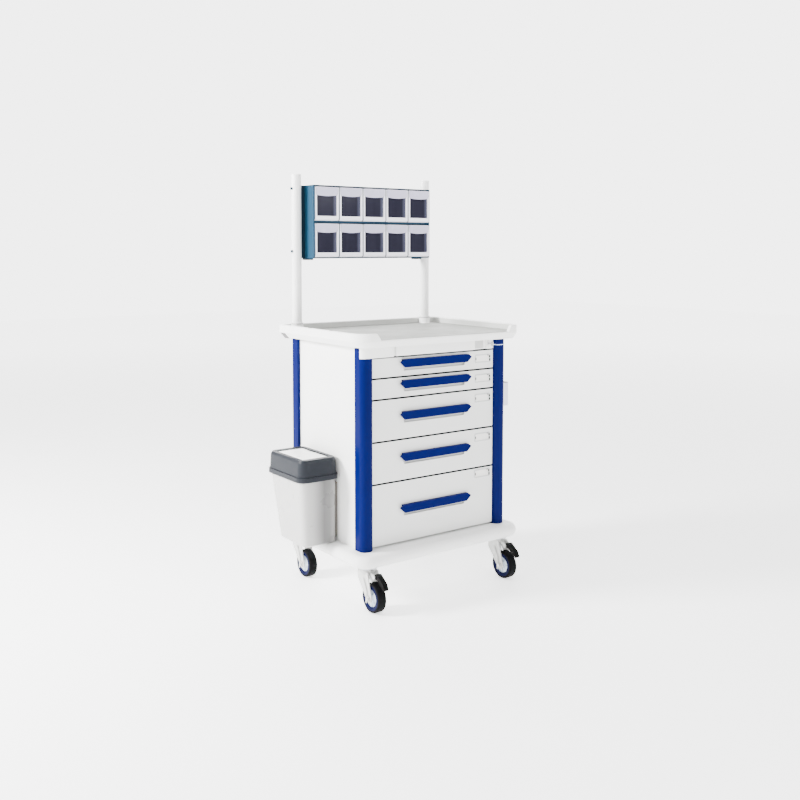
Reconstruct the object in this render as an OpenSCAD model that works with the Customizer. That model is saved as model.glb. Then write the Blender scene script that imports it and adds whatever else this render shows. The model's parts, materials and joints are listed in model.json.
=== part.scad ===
// Hospital crash cart: five drawers, worktop, tilt bins on two poles, waste bin, four casters.
// All lengths in millimetres. X runs left to right, the drawers face -Y, Z is up from the floor.

/* [Worktop] */
// Width of the worktop over its rim
top_w = 716; // [690:2:740]
// Depth of the worktop over its rim
top_d = 541; // [530:1:560]
// Height of the rim above the floor
top_z = 930; // [920:1:960]
// Height of the tray surface and of the low front edge
tray_z = 908; // [904:1:912]
// Width of the rim's flat top
rim_w = 13; // [12:1:22]

/* [Cabinet] */
// Width over the corner columns
cabinet_w = 632; // [620:2:636]
// Distance from the cart's centre to the drawer fronts' faces
front_y = 198.5; // [190:0.5:205]
// Distance from the cart's centre to the back of the rear columns
back_y = 260; // [250:1:264]
// Height of the cabinet's underside, which is the platform's top
cabinet_z = 195; // [190:1:200]
// Height of the columns' top, under the worktop
column_top = 883; // [880:1:886]
// Width of a column seen from the front
column_w = 48; // [44:1:50]
// Depth of a front column
column_d = 49; // [44:1:54]
// Radius of a column's outer corner
column_r = 22; // [16:1:28]

/* [Drawers] */
// Height of the upper edge of the top drawer
drawer_top = 844.4; // [840:0.2:848]
// Height of the lower edge of the bottom drawer
drawer_bottom = 200; // [198:0.5:204]
// Gap between two drawer fronts
drawer_gap = 3; // [2:0.5:5]
// Thickness of a drawer front
drawer_face_t = 18; // [14:1:20]
// Depth of a drawer tray behind its front
tray_d = 370; // [340:5:380]
// Half the width of a drawer tray
tray_half_w = 256; // [240:1:258]
// Length of a drawer handle, point to point
handle_l = 314; // [260:2:360]
// How far a handle stands off the drawer front
handle_out = 13; // [12:1:30]

/* [Base and casters] */
// Width of the base platform
base_w = 714; // [690:2:730]
// Depth of the base platform
base_d = 536; // [520:2:560]
// Thickness of the base platform
base_h = 45; // [40:1:50]
// Diameter of a caster wheel
wheel_d = 100; // [90:1:104]
// Width of a caster tyre
wheel_w = 32; // [26:1:34]
// Distance of the swivel axes from the cart's centre line
caster_x = 290; // [270:1:300]
// Distance of the front swivel axes in front of the cart's centre
caster_front = 207; // [200:1:215]
// Distance of the rear swivel axes behind the cart's centre
caster_rear = 231; // [215:1:232]
// Trail of the wheel axle from the swivel axis
caster_trail = 38; // [30:1:42]

/* [Poles and tilt bins] */
// Diameter of a pole
pole_d = 36; // [30:1:38]
// Distance of a pole from the cart's centre line
pole_x = 293.7; // [290:0.1:300]
// Distance of the poles behind the cart's centre
pole_y = 246.8; // [240:0.1:250]
// Height of the poles' top
pole_top = 1475; // [1450:1:1600]
// Height of the lower edge of the bin housings
bins_z = 1170; // [1100:1:1180]
// Height of one bin housing
bin_row_h = 132.5; // [125:0.5:135]
// Width of a bin housing
bins_w = 527; // [500:1:530]
// Depth of a bin housing
bins_d = 93; // [88:1:100]
// Number of bins in a row
bins_per_row = 5; // [5:1:5]

/* [Waste bin] */
// Width of the waste bin along the cart's side, at its top
can_w = 230; // [200:1:232]
// Depth of the waste bin, away from the cart's side, at its top
can_d = 141; // [110:1:142]
// Height of the waste bin's underside
can_z = 196; // [196:1:210]
// Height of the waste bin's body
can_h = 228; // [200:1:240]
// Height of the swing lid above the body
can_lid_h = 70; // [60:1:76]

/* [Hidden] */
$fn = 64;
fit = 0.05;
white = [0.94, 0.94, 0.93];
off_white = [0.89, 0.89, 0.87];
blue = [0.02, 0.26, 0.66];
teal = [0.33, 0.57, 0.66];
lavender = [0.9, 0.89, 0.95];
grey = [0.4, 0.42, 0.46];
steel = [0.72, 0.73, 0.74];
black = [0.08, 0.08, 0.09];

// Base platform
base_z = cabinet_z - base_h;
base_corner = 58;

// Casters
fork_half_w = wheel_w / 2 + 3;
fork_plate_t = 3.5;
fork_top = 139;
fork_crown_z = 126;
fork_crown_r = 30;
kingpin_r = 8;
kingpin_top = 168;
fork_front = 29;
fork_rear = 28;
fork_rear_z = 106;
fork_rim = 4;
axle_end_r = 15;
axle_r = 6;
axle_head_r = 9;
axle_head_t = 4;
tyre_t = 11;
tyre_corner = 5;
hub_r = wheel_d / 2 - tyre_t;
hub_boss_r = 13;
hub_web = [8, 9];
hub_rim_t = [6, 8];
hub_rim_in = 3;
pedal_pivot_y = -50;
pedal_pivot_z = 124;
pedal_pin_r = 3;
pedal_half_w = 9;
pedal_boss_r = 7;
pedal_back = [-66, 136];
pedal_bend = [-100, 112];
pedal_tip_z = 96;
pedal_toe = [-106, 91];
pedal_toe_under = [-94, 96];
pedal_back_under = [-66, 117];
ear_t = 3.5;
ear_root_y = -24;
ear_root_h = [2, 10];

// Cabinet
column_wall = 3;
panel_t = 2;
column_out = 19;
column_inner_r = 21;
column_dome_h = 10;
column_dome_in = [3, 9];
panel_x = cabinet_w / 2 - 11;
panel_flange = 22;
inner_x = cabinet_w / 2 - column_w;
rear_column_d = 52;
back_panel_y = back_y - 12;
rail_h = 34;
rail_t = 2;
rail_lip = 6;
rail_x = 263;
rail_lift = 10;
rail_start = 8;
runner_gap = 0.5;
upright_t = 4;
upright_front = 40;
upright_rear = 60;
cap_t = 4;
cap_l = 123;
cap_back = 4;
rail_d = 30;
lock_block_x = 232;
lock_block_w = 26;
lock_block_out = 6;

// Drawers, from the top one down
drawer_units = [1, 1, 2, 2, 3];
drawer_unit = (drawer_top - drawer_bottom) / 9;
drawer_face_w = 2 * inner_x - 2;
drawer_face_r = 3;
tray_wall = 1.5;
tray_lift = 8;
tray_drop = 12;
handle_rise = 13;
handle_t = 5;
handle_shoulder = 10;
handle_drop = 18;
handle_top_in = 14;
handle_foot_in = 20;
handle_web_low = 4;
recess_d = 9;
recess_drop = 12;
recess_half = [145, 133];
seam = 0.02;
lock_x = 244;
lock_z = 864;
lock_r = 8;
lock_out = 9;
lock_l = 34;
lock_rim = [3, 2.5];
keyhole = [2, 9];

// Worktop
skirt_z = column_top;
skirt_in = 18;
skirt_front_in = 10;
front_corner = 72;
rear_corner = 8;
rim_low_w = 570;
rim_slope = 7;
rim_edge = 27;
rim_bevel = [2, 4];
apron_w = 346;
apron_out = 10;
boss_r = 23;
pole_foot = 892;
pole_seat = 0.02;

// Poles and tilt bins
pole_wall = 2;
seam_w = 1;
pole_seams = [bins_z + 20, bins_z + 2 * bin_row_h];
collar_h = 6;
collar_r = 21.5;
pole_cap_h = 12;
channel_y = -7;
channel_d = 22;
channel_gap = 0.3;
pole_screw_r = 5;
pole_screw_out = 4;
pole_screw_low = 26;
pole_screw_top = 12;
ledge = [28, 30, 6];
bins_y = 175.7;
housing_t = 2.5;
bin_pitch = (bins_w - 2 * housing_t) / bins_per_row;
bin_side_gap = 0.5;
bin_rod_r = 2;
bin_rod_y = 5.5;
bin_rod_z = 10;
bin_wall = 2;
bin_h = 116;
bin_pivot_r = 5;
bin_floor_d = 76;
bin_back_z = 8;
bin_slope_d = 46;
bin_slope_z = 88;
bin_mouth_d = 24;
bin_lip_h = 26;
bin_lip_out = 7;
bin_lip_in = 8;
bin_lip_edge = 3;

// Waste bin: its front is upright, and its rear and outer side lean in towards the bottom
can_x = -cabinet_w / 2;
can_front = -61;
can_corner = 24;
can_lean_x = 9;
can_lean_y = 48;
can_wall = 2;
can_foot = [6, 1];
can_foot_h = 5;
can_floor_in = 4;
lid_out = 9;
lid_lap = 4;
lid_gap = 0.4;
lid_step = [5, 2, -3];
lid_bevel_h = 9;
lid_wall = 5;
lid_roof = 10;
lid_z = can_z + can_h - lid_lap;
lid_top_z = can_z + can_h + can_lid_h;
flange_h = 16;
flap_w = 182;
flap_d = 106;
flap_t = 4;
flap_gap = 1.5;
flap_pin_r = 3;
flap_pin_l = 5;
flap_drop = 5;
bracket_in = 20;
bracket_low = 16;
bracket_short = 40;

// Side holder on the right panel
holder_x = 312;
holder_d = 62;
holder_y = -166;
holder_w = 130;
holder_z = 620;
holder_h = 88;
holder_wall = 2;
holder_plate_in = 30;
holder_plate_up = 10;

// The model's origin is on the floor under the middle of the whole outline
reach_left = can_d + lid_out - can_x;
reach_right = holder_x + holder_d;
pedal_reach = 108;
reach_front = caster_front + pedal_reach;
cart_x = (reach_left - reach_right) / 2;
cart_y = (reach_front - top_d / 2) / 2;

function sum_to(list, n) = n < 0 ? 0 : list[n] + sum_to(list, n - 1);
function drawer_z(i) = drawer_top - drawer_unit * sum_to(drawer_units, i);
function drawer_h(i) = drawer_unit * drawer_units[i];
function handle_z(i) = drawer_z(i) + drawer_h(i) / 2 + handle_rise;
function bin_x(i) = -bins_w / 2 + housing_t + bin_pitch * i;

module on_cart() {
  translate([cart_x, cart_y, 0]) children();
}

module both_sides() {
  children();
  mirror([1, 0, 0]) children();
}

module round_rect(w, d, r) {
  square([w - 2 * r, d], center = true);
  square([w, d - 2 * r], center = true);
  for (x = [-1, 1], y = [-1, 1])
    translate([x * (w / 2 - r), y * (d / 2 - r)]) circle(r);
}

module slab(w, d, h, r) {
  linear_extrude(h) round_rect(w, d, r);
}

module across(length) {
  rotate([90, 0, 90]) linear_extrude(length, center = true) children();
}

// Base and casters

module base_edge(x, y) {
  translate([x * (base_w / 2 - base_corner), y * (base_d / 2 - base_corner), base_z + base_h / 2])
    rotate_extrude($fn = 40) translate([base_corner - base_h / 2, 0]) circle(base_h / 2, $fn = 24);
}

module caster_places() {
  for (x = [-caster_x, caster_x], y = [-caster_front, caster_rear])
    translate([x, y, 0]) children();
}

module base_platform() {
  color(white) on_cart() difference() {
    hull() for (x = [-1, 1], y = [-1, 1]) base_edge(x, y);
    caster_places() cylinder_from(base_z - 1, kingpin_top, kingpin_r + 2);
  }
}

module caster_mounts() {
  color(steel) on_cart() caster_places() difference() {
    union() {
      cylinder_from(fork_top + 2, base_z, fork_crown_r + 2);
      cylinder_from(base_z, kingpin_top, kingpin_r + 2);
    }
    cylinder_from(fork_top, kingpin_top + 1, kingpin_r + fit);
  }
}

module fork_plate() {
  tangent = axle_end_r / sqrt(2);
  difference() {
    union() {
      translate([-caster_trail, wheel_d / 2]) circle(axle_end_r);
      polygon([[-fork_front, fork_top - fork_rim], [fork_rear, fork_top - fork_rim], [fork_rear, fork_rear_z],
        [tangent - caster_trail, wheel_d / 2 - tangent], [-caster_trail - axle_end_r, wheel_d / 2]]);
    }
    translate([-caster_trail, wheel_d / 2]) circle(axle_r + 0.2);
  }
}

module fork_ear() {
  translate([pedal_pivot_y, pedal_pivot_z]) circle(pedal_boss_r);
  polygon([[ear_root_y, fork_top - ear_root_h[0]], [pedal_pivot_y, pedal_pivot_z + pedal_boss_r],
    [pedal_pivot_y, pedal_pivot_z - pedal_boss_r], [ear_root_y, fork_crown_z - ear_root_h[1]]]);
}

module caster_fork(braked) {
  plate_x = fork_half_w + fork_plate_t / 2;
  ear_x = pedal_half_w + 0.5 + ear_t / 2;
  cylinder_from(fork_crown_z, fork_top, fork_crown_r);
  cylinder_from(fork_top - 1, kingpin_top - 2, kingpin_r);
  for (side = [-1, 1]) translate([side * plate_x, 0, 0]) across(fork_plate_t) fork_plate();
  if (braked) {
    for (side = [-1, 1]) translate([side * ear_x, 0, 0]) across(ear_t) fork_ear();
    pedal_axis() cylinder(h = 2 * pedal_half_w + 4, r = pedal_pin_r, center = true);
  }
  wheel_axis() {
    cylinder(h = 2 * (fork_half_w + fork_plate_t), r = axle_r, center = true);
    for (side = [-1, 1]) translate([0, 0, side * (fork_half_w + fork_plate_t + axle_head_t / 2)])
      cylinder(h = axle_head_t, r = axle_head_r, center = true);
  }
}

module cylinder_from(z1, z2, r) {
  translate([0, 0, z1]) cylinder(h = z2 - z1, r = r);
}

module wheel_axis() {
  translate([0, -caster_trail, wheel_d / 2]) rotate([0, 90, 0]) children();
}

module pedal_axis() {
  translate([0, pedal_pivot_y, pedal_pivot_z]) rotate([0, 90, 0]) children();
}

module wheel_hub() {
  boss = fork_half_w - 1;
  half = wheel_w / 2 - hub_rim_in;
  wheel_axis() rotate_extrude() polygon([
    [axle_r + fit, -boss], [hub_boss_r, -boss],
    [hub_boss_r + 2, -hub_web[1]], [hub_r - hub_rim_t[1], -hub_web[0]],
    [hub_r - hub_rim_t[0], -half], [hub_r, -half], [hub_r, half], [hub_r - hub_rim_t[0], half],
    [hub_r - hub_rim_t[1], hub_web[0]], [hub_boss_r + 2, hub_web[1]],
    [hub_boss_r, boss], [axle_r + fit, boss]]);
}

module wheel_tyre() {
  wheel_axis() rotate_extrude() translate([hub_r + tyre_t / 2, 0]) round_rect(tyre_t, wheel_w, tyre_corner);
}

module brake_pedal() {
  difference() {
    across(2 * pedal_half_w) union() {
      translate([pedal_pivot_y, pedal_pivot_z]) circle(pedal_boss_r);
      polygon([[pedal_pivot_y, pedal_pivot_z + pedal_boss_r],
        pedal_back, pedal_bend, [-pedal_reach, pedal_tip_z], pedal_toe,
        pedal_toe_under, pedal_back_under, [pedal_pivot_y, pedal_pivot_z - pedal_boss_r]]);
    }
    pedal_axis() cylinder(h = 3 * pedal_half_w, r = pedal_pin_r + fit, center = true);
  }
}

module at_caster(side, y) {
  on_cart() translate([side * caster_x, y, 0]) children();
}

// Cabinet

// A rectangle from the origin whose corners on the X axis are round, outer_r at the origin
module column_outline(w, d, outer_r, inner_r) {
  intersection() {
    square([w, d]);
    union() {
      translate([outer_r, outer_r]) circle(outer_r);
      translate([w - inner_r, inner_r]) circle(inner_r);
      translate([outer_r, 0]) square([w - outer_r - inner_r, d]);
      translate([0, outer_r]) square([w, d]);
    }
  }
}

module inset_outline(inset, d, inner_r) {
  translate([inset, inset])
    column_outline(column_w - 2 * inset, d - 2 * inset, column_r - inset, inner_r - inset);
}

module column_section(d, inner_r) {
  difference() {
    inset_outline(0, d, inner_r);
    inset_outline(column_wall, d, inner_r);
  }
}

module front_column() {
  dome_z = column_top - column_dome_h;
  translate([-cabinet_w / 2, -front_y - column_out, 0]) {
    translate([0, 0, cabinet_z])
      linear_extrude(dome_z - cabinet_z) column_section(column_d, column_inner_r);
    hull() {
      translate([0, 0, dome_z]) linear_extrude(1) inset_outline(0, column_d, column_inner_r);
      translate([0, 0, dome_z + column_dome_h * 0.6])
        linear_extrude(1) inset_outline(column_dome_in[0], column_d, column_inner_r);
      translate([0, 0, column_top - 1])
        linear_extrude(1) inset_outline(column_dome_in[1], column_d, column_inner_r);
    }
  }
}

module rear_column() {
  translate([-cabinet_w / 2, back_y, cabinet_z])
    mirror([0, 1, 0]) linear_extrude(column_top - cabinet_z) column_section(rear_column_d, column_wall + 1);
}

module side_panel() {
  panel_y = -front_y - column_out + column_d;
  panel_l = back_y - rear_column_d - panel_y;
  panel_h = column_top - cabinet_z;
  translate([-panel_x, panel_y, cabinet_z]) cube([panel_t, panel_l, panel_h]);
  for (z = [cabinet_z, column_top - panel_t])
    translate([-panel_x, panel_y, z]) cube([panel_flange, panel_l, panel_t]);
}

module side_panels() {
  color(white) on_cart() both_sides() side_panel();
}

module back_panel() {
  color(white) on_cart()
    translate([-inner_x, back_panel_y, cabinet_z]) cube([2 * inner_x, panel_t, column_top - cabinet_z]);
}

// The cover on the rail's left end, which wraps round the front of the left column
module rail_cap() {
  gap = 0.3;
  cap_y = -front_y - column_out - cap_t;
  translate([-cabinet_w / 2, 0, drawer_top]) linear_extrude(column_top - drawer_top) difference() {
    union() {
      translate([-cap_t, cap_y])
        column_outline(cap_t + cap_l, column_out + cap_t - cap_back, column_r + cap_t, 1);
      translate([column_w + gap, cap_y]) square([cap_l - column_w - gap, column_out + cap_t]);
    }
    translate([-gap, -front_y - column_out - gap])
      column_outline(column_w + 2 * gap, column_d, column_r + gap, column_inner_r + gap);
  }
}

module top_rail() {
  height = column_top - drawer_top;
  color(white) on_cart() difference() {
    union() {
      translate([-inner_x, -front_y, drawer_top]) cube([2 * inner_x, rail_d, height]);
      rail_cap();
      translate([lock_block_x, -front_y - lock_block_out, drawer_top])
        cube([lock_block_w, lock_block_out, height]);
    }
    translate([lock_x, 0, lock_z]) rotate([90, 0, 0]) cylinder(h = front_y + 10, r = lock_r + fit);
  }
}

module lock_barrel() {
  color(steel) on_cart() translate([lock_x, -front_y - lock_out, lock_z]) rotate([-90, 0, 0]) difference() {
    union() {
      cylinder_from(0, lock_l, lock_r);
      cylinder_from(0, lock_rim[0], lock_r + lock_rim[1]);
    }
    cube([keyhole.x, keyhole.y, 8], center = true);
  }
}

module slide_rail(i) {
  z = drawer_z(i) + rail_lift;
  y = -front_y + drawer_face_t + rail_start;
  translate([-rail_x - rail_t, y, z]) cube([rail_t, tray_d, rail_h]);
  for (dz = [0, rail_h - rail_t]) translate([-rail_x - rail_t, y, z + dz]) cube([rail_lip, tray_d, rail_t]);
}

module drawer_rails() {
  x = rail_x + rail_t;
  color(steel) on_cart() both_sides() {
    for (i = [0:4]) slide_rail(i);
    for (y = [-front_y + upright_front, back_panel_y - upright_rear])
      translate([-panel_x + panel_t, y, cabinet_z + panel_t])
        cube([panel_x - panel_t - x, upright_t, column_top - cabinet_z - 2 * panel_t]);
  }
}

// Worktop

// The four corners of a slice of the worktop, set in by dx at the sides and dy at the front and rear
module worktop_layer(z, h, dx, dy) {
  for (x = [-1, 1]) {
    translate([x * (top_w / 2 - front_corner), front_corner + dy - dx - top_d / 2, z])
      cylinder(h = h, r = front_corner - dx);
    translate([x * (top_w / 2 - dx - rear_corner), top_d / 2 - dy - rear_corner, z])
      cylinder(h = h, r = rear_corner, $fn = 32);
  }
}

module worktop() {
  notch = rim_low_w / 2;
  notch_top = notch + rim_slope + 1;
  notch_foot = notch - rim_slope;
  pocket = top_z - tray_z + 10;
  color(white) on_cart() difference() {
    union() {
      difference() {
        union() {
          hull() {
            worktop_layer(skirt_z, 1, skirt_in, skirt_front_in);
            worktop_layer(top_z - rim_edge, 1, 0, 0);
            worktop_layer(top_z - rim_bevel[1], 1, 0, 0);
            worktop_layer(top_z - 1, 1, rim_bevel[0], rim_bevel[0]);
          }
          translate([-apron_w / 2, -front_y - apron_out, drawer_top])
            cube([apron_w, apron_out, skirt_z - drawer_top + 1]);
        }
        hull() worktop_layer(tray_z, pocket, rim_w, rim_w);
        translate([0, -top_d / 2, 0]) rotate([90, 0, 0]) linear_extrude(3 * rim_w, center = true)
          for (side = [0, 1]) mirror([side, 0, 0]) polygon(
            [[0, tray_z], [-notch_foot, tray_z], [-notch_top, top_z + 1], [0, top_z + 1]]);
      }
      for (x = [-pole_x, pole_x]) translate([x, pole_y, 0]) cylinder_from(tray_z - 10, top_z, boss_r);
    }
    for (x = [-pole_x, pole_x])
      translate([x, pole_y, 0]) cylinder_from(pole_foot, top_z + 5, pole_d / 2 + pole_seat);
  }
}

// Drawers

// A rear plate with four covers on it, which leave the finger recess open between them
module drawer_front(i) {
  h = drawer_h(i) - drawer_gap;
  high = handle_z(i) + handle_shoulder;
  low = handle_z(i) - handle_drop - recess_drop;
  color(off_white) on_cart() difference() {
    translate([0, -front_y + drawer_face_t, drawer_z(i) + drawer_h(i) / 2])
      rotate([90, 0, 0]) slab(drawer_face_w, h, drawer_face_t, drawer_face_r);
    translate([0, -front_y + recess_d, 0]) rotate([90, 0, 0]) linear_extrude(recess_d + 1)
      polygon([[-recess_half[0], high], [recess_half[0], high],
        [recess_half[1], low], [-recess_half[1], low]]);
    translate([-drawer_face_w, -front_y + recess_d - seam, drawer_z(i)])
      cube([2 * drawer_face_w, seam, drawer_h(i)]);
    for (z = [low, high]) translate([-drawer_face_w, -front_y - 1, z])
      cube([2 * drawer_face_w, recess_d + 1, seam]);
  }
}

module drawer_tray(i) {
  z = drawer_z(i) + tray_lift;
  h = drawer_h(i) - tray_lift - tray_drop;
  y = -front_y + drawer_face_t;
  runner_z = drawer_z(i) + rail_lift + rail_t + runner_gap;
  runner_h = rail_h - 2 * (rail_t + runner_gap);
  runner_x = rail_x - runner_gap;
  color(steel) on_cart() {
    difference() {
      translate([-tray_half_w, y, z]) cube([2 * tray_half_w, tray_d, h]);
      translate([-tray_half_w + tray_wall, y + tray_wall, z + tray_wall])
        cube([2 * (tray_half_w - tray_wall), tray_d - 2 * tray_wall, h]);
    }
    both_sides() translate([-runner_x, y + rail_start, runner_z])
      cube([runner_x - tray_half_w, tray_d - rail_start, runner_h]);
  }
}

module handle_outline() {
  half = handle_l / 2;
  top_half = half - handle_top_in;
  foot_half = half - handle_foot_in;
  polygon([[-half, 0], [-top_half, handle_shoulder], [top_half, handle_shoulder], [half, 0],
    [foot_half, -handle_drop], [-foot_half, -handle_drop]]);
}

module drawer_handle(i) {
  web_l = handle_l - 2 * handle_top_in;
  reach = handle_out + recess_d - 1;
  color(blue) on_cart() translate([0, -front_y, handle_z(i)]) {
    translate([0, -handle_out + handle_t, 0]) rotate([90, 0, 0]) linear_extrude(handle_t) handle_outline();
    translate([-web_l / 2, -handle_out + 1, handle_shoulder - 4]) cube([web_l, reach, 4]);
    both_sides() translate([-web_l / 2, -handle_out + 1, handle_web_low])
      cube([handle_t, reach, handle_shoulder - handle_web_low]);
  }
}

// Poles and tilt bins

module pole(side) {
  color(white) on_cart() translate([side * pole_x, pole_y, 0]) difference() {
    union() {
      cylinder_from(pole_foot, pole_top, pole_d / 2);
      cylinder_from(top_z, top_z + collar_h, collar_r);
    }
    cylinder_from(pole_foot - 1, pole_top - pole_cap_h, pole_d / 2 - pole_wall);
    for (z = pole_seams) difference() {
      cylinder_from(z - seam_w / 2, z + seam_w / 2, pole_d);
      cylinder_from(z - seam_w, z + seam_w, pole_d / 2 - seam_w / 2);
    }
  }
}

module bin_bracket() {
  box_x = bins_w / 2;
  difference() {
    union() {
      translate([-pole_x, pole_y + channel_y, bins_z]) cube([pole_x - box_x, channel_d, 2 * bin_row_h]);
      for (z = [bins_z + pole_screw_low, bins_z + 2 * bin_row_h - pole_screw_top])
        translate([-pole_x, pole_y, z]) rotate([0, -90, 0])
          cylinder(h = pole_d / 2 + pole_screw_out, r = pole_screw_r);
    }
    translate([-pole_x, pole_y, 0]) cylinder_from(bins_z - 1, pole_top, pole_d / 2 + channel_gap);
  }
  translate([-box_x, pole_y - ledge.y * 2 / 3, bins_z - ledge.z]) cube(ledge);
}

module bin_brackets() {
  color(steel) on_cart() both_sides() bin_bracket();
}

module bin_housing(row) {
  z = bins_z + row * bin_row_h;
  difference() {
    translate([-bins_w / 2, bins_y, z]) cube([bins_w, bins_d, bin_row_h]);
    translate([-bins_w / 2 + housing_t, bins_y - 1, z + housing_t])
      cube([bins_w - 2 * housing_t, bins_d - housing_t + 1, bin_row_h - 2 * housing_t]);
  }
  translate([0, bins_y + bin_rod_y, z + bin_rod_z]) rotate([0, 90, 0])
    cylinder(h = bins_w - 2 * housing_t, r = bin_rod_r, center = true);
}

module bin_housings() {
  color(teal) on_cart() for (row = [0, 1]) bin_housing(row);
}

// Side outline of a bin about its pivot: front wall, mouth, sloped back, floor
module bin_outline(t) {
  front = t - bin_pivot_r;
  back = bin_floor_d - t;
  polygon([[front, front], [front, bin_h + t], [bin_mouth_d, bin_h + t], [bin_slope_d - t, bin_slope_z],
    [back, bin_back_z], [back, front]]);
}

module tilt_bin(row, i) {
  w = bin_pitch - 2 * bin_side_gap;
  color(lavender) on_cart()
    translate([bin_x(i) + bin_side_gap + w / 2, bins_y + bin_rod_y, bins_z + row * bin_row_h + bin_rod_z])
      difference() {
        union() {
          difference() {
            union() {
              across(w) bin_outline(0);
              across(w - 2 * bin_lip_in) translate([-bin_pivot_r, bin_h])
                polygon([[0, -bin_lip_h], [-bin_lip_out, -bin_lip_edge], [-bin_lip_out, 0], [0, 0]]);
            }
            across(w - 2 * bin_wall) bin_outline(bin_wall);
          }
          rotate([0, 90, 0]) cylinder(h = w, r = bin_pivot_r, center = true);
        }
        rotate([0, 90, 0]) cylinder(h = w + 2, r = bin_rod_r + fit, center = true);
      }
}

// Waste bin

// A slice of the bin, grown all round, with lean 0 at the top and 1 at the bottom
module can_layer(z, h, grow, lean) {
  d = can_d - lean * can_lean_x;
  w = can_w - lean * can_lean_y;
  translate([can_x - d / 2, can_front + w / 2, z])
    slab(d + 2 * grow, w + 2 * grow, h, can_corner + grow, $fn = 40);
}

module waste_can() {
  color(white) on_cart() difference() {
    hull() {
      can_layer(can_z, 1, -can_foot[0], 1);
      can_layer(can_z + can_foot_h, 1, -can_foot[1], 1);
      can_layer(can_z + can_h - 1, 1, 0, 0);
    }
    hull() {
      can_layer(can_z + can_foot_h, 1, -can_floor_in, 1);
      can_layer(can_z + can_h, 1, -can_wall, 0);
    }
  }
}

module at_flap() {
  translate([can_x - can_d / 2, can_front + can_w / 2, lid_top_z - flap_drop])
    children();
}

module flap_pin(r) {
  at_flap() rotate([90, 0, 0]) cylinder(h = flap_w + 2 * flap_pin_l, r = r, center = true);
}

module waste_lid() {
  color(grey) on_cart() difference() {
    union() {
      can_layer(lid_z, flange_h, lid_out, 0);
      hull() {
        can_layer(lid_z + flange_h - 2, 1, lid_step[0], 0);
        can_layer(lid_top_z - lid_bevel_h, 1, lid_step[1], 0);
        can_layer(lid_top_z - 1, 1, lid_step[2], 0);
      }
    }
    can_layer(lid_z - 1, lid_lap + 1, lid_gap, 0);
    can_layer(lid_z, lid_top_z - lid_z - lid_roof, -lid_wall, 0);
    at_flap() cube([flap_d, flap_w, 3 * lid_roof], center = true);
    translate([-panel_x - lid_gap, can_front - can_w, lid_z]) cube([can_w, 3 * can_w, can_lid_h]);
    flap_pin(flap_pin_r + fit);
  }
}

module waste_flap() {
  color(white) on_cart() {
    at_flap() cube([flap_d - 2 * flap_gap, flap_w - 2 * flap_gap, flap_t], center = true);
    flap_pin(flap_pin_r);
  }
}

module waste_bracket() {
  plate_w = can_w - can_lean_y - 2 * bracket_in;
  color(black) on_cart() translate([can_x, can_front + bracket_in, can_z + bracket_low])
    cube([-panel_x - can_x, plate_w, can_h - bracket_short]);
}

// Side holder

module side_holder() {
  color(lavender) on_cart() {
    difference() {
      translate([holder_x, holder_y, holder_z]) cube([holder_d, holder_w, holder_h]);
      translate([holder_x + holder_wall, holder_y + holder_wall, holder_z + holder_wall])
        cube([holder_d - 2 * holder_wall, holder_w - 2 * holder_wall, holder_h]);
    }
    translate([panel_x, holder_y + holder_plate_in, holder_z + holder_plate_up])
      cube([holder_x - panel_x, holder_w - 2 * holder_plate_in, holder_h - 2 * holder_plate_up]);
  }
}

base_platform();
caster_mounts();
color(white) at_caster(-1, -caster_front) caster_fork(true);  // caster_fork_fl
color(white) at_caster(1, -caster_front) caster_fork(true);  // caster_fork_fr
color(white) at_caster(-1, caster_rear) caster_fork(false);  // caster_fork_rl
color(white) at_caster(1, caster_rear) caster_fork(false);  // caster_fork_rr
color(white) at_caster(-1, -caster_front) wheel_hub();  // wheel_hub_fl
color(white) at_caster(1, -caster_front) wheel_hub();  // wheel_hub_fr
color(white) at_caster(-1, caster_rear) wheel_hub();  // wheel_hub_rl
color(white) at_caster(1, caster_rear) wheel_hub();  // wheel_hub_rr
color(black) at_caster(-1, -caster_front) wheel_tyre();  // wheel_tyre_fl
color(black) at_caster(1, -caster_front) wheel_tyre();  // wheel_tyre_fr
color(black) at_caster(-1, caster_rear) wheel_tyre();  // wheel_tyre_rl
color(black) at_caster(1, caster_rear) wheel_tyre();  // wheel_tyre_rr
color(black) at_caster(-1, -caster_front) brake_pedal();  // brake_pedal_fl
color(black) at_caster(1, -caster_front) brake_pedal();  // brake_pedal_fr
color(blue) on_cart() front_column();  // front_column_left
color(blue) on_cart() mirror([1, 0, 0]) front_column();  // front_column_right
color(blue) on_cart() rear_column();  // rear_column_left
color(blue) on_cart() mirror([1, 0, 0]) rear_column();  // rear_column_right
side_panels();
back_panel();
top_rail();
drawer_rails();
worktop();
lock_barrel();
pole(-1);  // pole_left
pole(1);  // pole_right
bin_brackets();
bin_housings();
for (i = [0:4]) {
  drawer_front(i);
  drawer_tray(i);
  drawer_handle(i);
  tilt_bin(1, i);
  tilt_bin(0, i);
}
waste_bracket();
waste_can();
waste_lid();
waste_flap();
side_holder();
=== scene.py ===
"""Looks of the crash cart: materials, small pieces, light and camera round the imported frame.

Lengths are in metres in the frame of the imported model: +Z up, the drawers face -Y.
"""
import json
import math
import bmesh
import bpy
from mathutils import Matrix, Vector


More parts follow.
